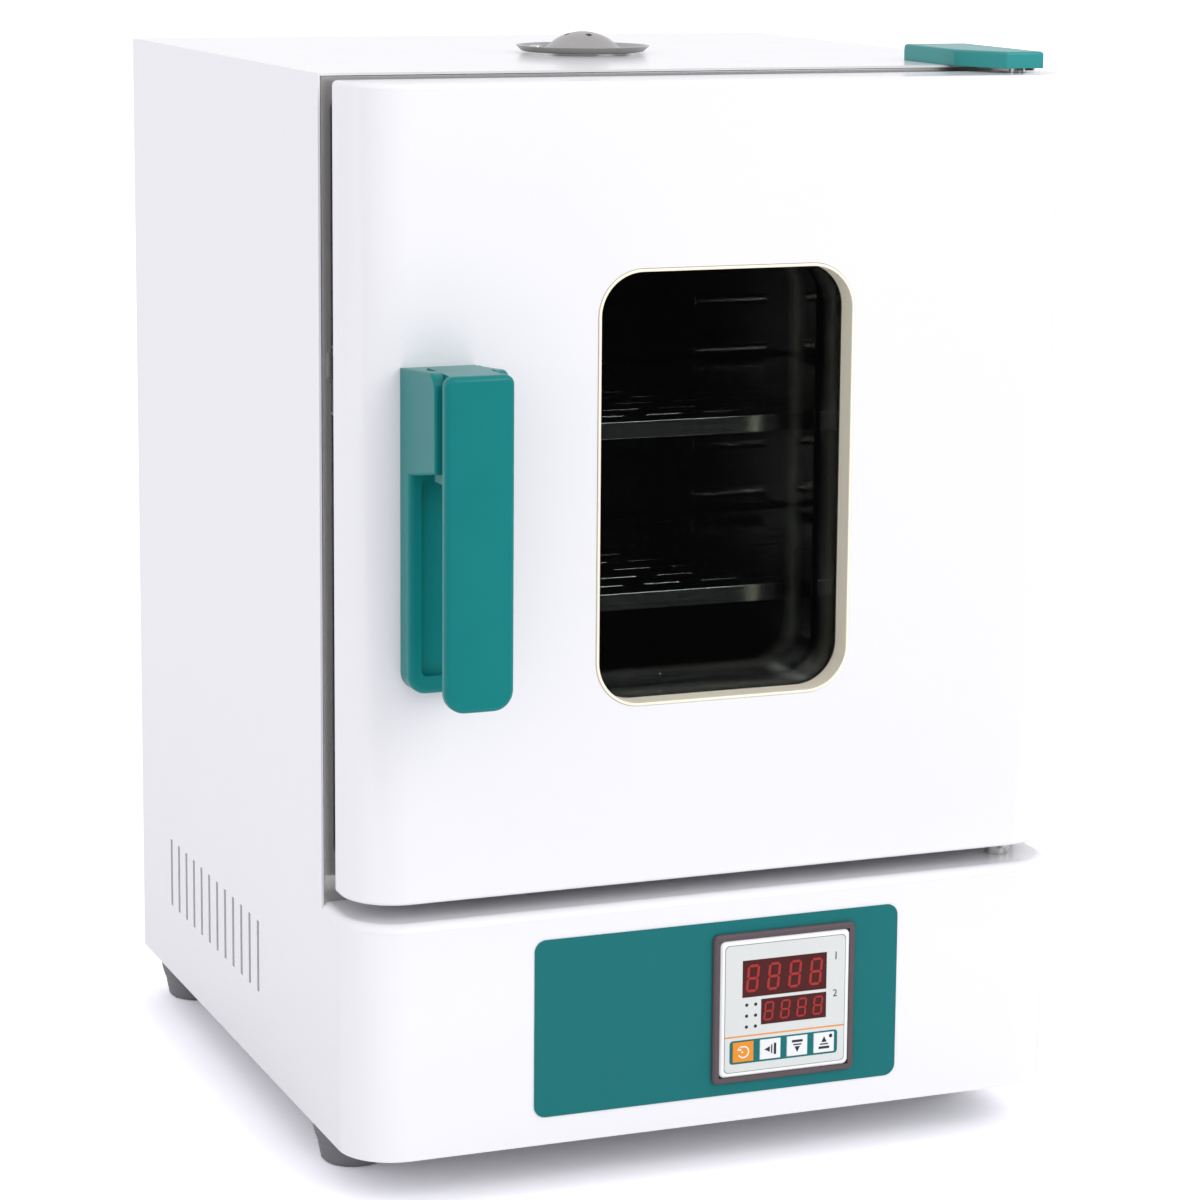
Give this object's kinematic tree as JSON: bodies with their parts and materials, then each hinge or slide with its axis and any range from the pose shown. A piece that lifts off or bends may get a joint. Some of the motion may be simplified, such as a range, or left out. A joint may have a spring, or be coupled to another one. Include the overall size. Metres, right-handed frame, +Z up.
{
  "type": "forced-air drying oven",
  "caption": "Table-top drying oven: white steel casing, hinged door with window and lever handle, steel chamber with shelves, fan and heater, digital controller, turning vent cap.",
  "frame": {"origin": "on the surface that the feet stand on, in the middle of the overall width and depth", "axes": "+Z up, +X to the right seen from the front, +Y from the door to the rear panel"},
  "size_m": [0.39, 0.481, 0.5718],
  "materials": {
    "white_enamel": "gloss",
    "zinc_sheet": "satin",
    "stainless": "brushed",
    "polished_steel": "polished",
    "clear_glass": "gloss",
    "grey_rubber": "matt",
    "cream_silicone": "satin",
    "white_silicone": "satin",
    "teal_plastic": "gloss",
    "teal_film": "satin",
    "taupe_plastic": "satin",
    "light_grey_plastic": "satin",
    "black_plastic": "matt",
    "dark_red_window": "gloss",
    "orange_key": "satin",
    "white_key": "satin",
    "mineral_wool": "matt",
    "aluminium": "satin",
    "brass": "satin"
  },
  "bodies": {
    "chassis": {"outer_casing": "white_enamel", "front_frame": "stainless", "chamber_liner": "stainless", "rear_panel": "white_enamel", "rear_panel_screws": "polished_steel", "base_plate": "zinc_sheet", "feet": "grey_rubber", "foot_screws": "polished_steel", "divider_plate": "zinc_sheet", "insulation": "mineral_wool", "air_guide": "stainless", "fan_motor": "zinc_sheet", "motor_bracket": "zinc_sheet", "heater_element": "stainless", "temperature_probe": "polished_steel", "limit_thermostat": "aluminium", "shelf_rail_left": "stainless", "shelf_rail_right": "stainless", "vent_pipe": "stainless", "vent_base": "polished_steel", "vent_pivot": "polished_steel", "hinge_bracket": "zinc_sheet", "hinge_pin_upper": "polished_steel", "hinge_pin_lower": "polished_steel", "hinge_cover": "teal_plastic", "latch_striker": "polished_steel", "control_label": "teal_film", "controller_surround": "taupe_plastic", "controller_body": "light_grey_plastic", "display_windows": "dark_red_window", "power_inlet": "black_plastic", "rocker_housing": "black_plastic", "fuse_holder": "black_plastic", "solid_state_relay": "black_plastic", "heat_sink": "aluminium", "terminal_block": "white_key"},
    "fan": {"fan_impeller": "aluminium", "fan_shaft": "polished_steel"},
    "shelf_upper": {"shelf_upper": "stainless"},
    "shelf_lower": {"shelf_lower": "stainless"},
    "vent_cap": {"vent_cap": "polished_steel", "vent_stud": "polished_steel"},
    "door": {"door_shell": "white_enamel", "door_inner_panel": "stainless", "door_insulation": "mineral_wool", "window_gasket": "cream_silicone", "outer_pane": "clear_glass", "pane_spacer": "polished_steel", "inner_pane": "clear_glass", "door_seal": "white_silicone", "hinge_bushes": "brass", "handle_base": "teal_plastic", "handle_pin": "polished_steel"},
    "handle": {"handle_grip": "teal_plastic", "latch_arm": "polished_steel"},
    "rocker": {"power_rocker": "black_plastic"},
    "key_1": {"key_1": "orange_key"},
    "key_2": {"key_2": "white_key"},
    "key_3": {"key_3": "white_key"},
    "key_4": {"key_4": "white_key"}
  },
  "joints": [
    {"name": "door_swing", "type": "hinge", "parent": "chassis", "child": "door", "pos_m": [0.1681, -0.1555, 0.3568], "axis": [0, 0, 1], "range_deg": [0, 110]},
    {"name": "handle_pull", "type": "hinge", "parent": "door", "child": "handle", "pos_m": [-0.1516, -0.2135, 0.41], "axis": [-1, 0, 0], "range_deg": [0, 14], "stiffness_Nm_per_rad": 0.9, "springref_deg": -8.59},
    {"name": "vent_turn", "type": "hinge", "parent": "chassis", "child": "vent_cap", "pos_m": [0, 0.0245, 0.56], "axis": [0, 0, 1], "range_deg": [0, 45]},
    {"name": "shelf_upper_slide", "type": "slide", "parent": "chassis", "child": "shelf_upper", "axis": [0, -1, 0], "range_m": [0, 0.016]},
    {"name": "shelf_lower_slide", "type": "slide", "parent": "chassis", "child": "shelf_lower", "axis": [0, -1, 0], "range_m": [0, 0.016]},
    {"name": "fan_spin", "type": "hinge", "parent": "chassis", "child": "fan", "pos_m": [0, 0.1395, 0.359], "axis": [0, 1, 0], "continuous": true},
    {"name": "rocker_tilt", "type": "hinge", "parent": "chassis", "child": "rocker", "pos_m": [0.066, 0.232, 0.072], "axis": [0, 0, 1], "range_deg": [0, 16]},
    {"name": "key_1_press", "type": "slide", "parent": "chassis", "child": "key_1", "axis": [0, 1, 0], "range_m": [0, 0.0005], "stiffness_N_per_m": 3000, "springref_m": -0.0002},
    {"name": "key_2_press", "type": "slide", "parent": "chassis", "child": "key_2", "axis": [0, 1, 0], "range_m": [0, 0.0005], "stiffness_N_per_m": 3000, "springref_m": -0.0002},
    {"name": "key_3_press", "type": "slide", "parent": "chassis", "child": "key_3", "axis": [0, 1, 0], "range_m": [0, 0.0005], "stiffness_N_per_m": 3000, "springref_m": -0.0002},
    {"name": "key_4_press", "type": "slide", "parent": "chassis", "child": "key_4", "axis": [0, 1, 0], "range_m": [0, 0.0005], "stiffness_N_per_m": 3000, "springref_m": -0.0002}
  ]
}
